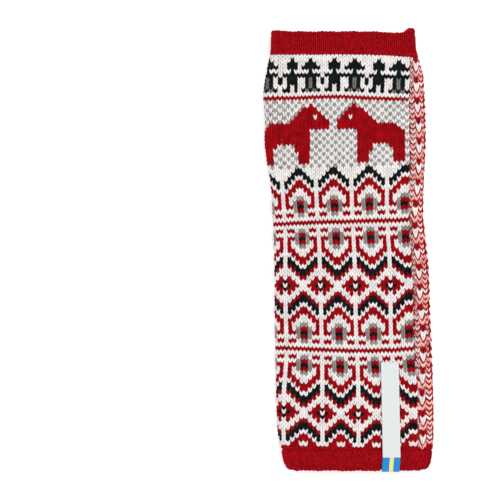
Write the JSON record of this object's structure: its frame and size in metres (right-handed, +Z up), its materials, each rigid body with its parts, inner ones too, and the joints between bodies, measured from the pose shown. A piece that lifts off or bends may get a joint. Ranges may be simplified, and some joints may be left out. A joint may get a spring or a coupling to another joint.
{
  "type": "wrist warmer",
  "caption": "Long fingerless knitted wrist warmer, a hollow tube lying flat, with a plain cuff at each end, a thumb slit in one side fold and a woven label folded round the arm hem.",
  "frame": {"origin": "middle of the bounding box, on the surface that the palm side lies on", "axes": "+X across the tube towards the fold with the patterned strip, +Y along it towards the fingers, +Z up out of the back of the hand"},
  "size_m": [0.0924, 0.2428, 0.0126],
  "materials": {
    "patterned_wool": "two-colour knitted wool in white, grey, red and charcoal",
    "red_wool": "dense fine-ribbed red wool",
    "label_tape": "white woven polyester tape with a striped end"
  },
  "bodies": {
    "root": {"sleeve": "patterned_wool", "arm_cuff": "red_wool", "hand_cuff": "red_wool", "woven_label": "label_tape"}
  },
  "joints": []
}
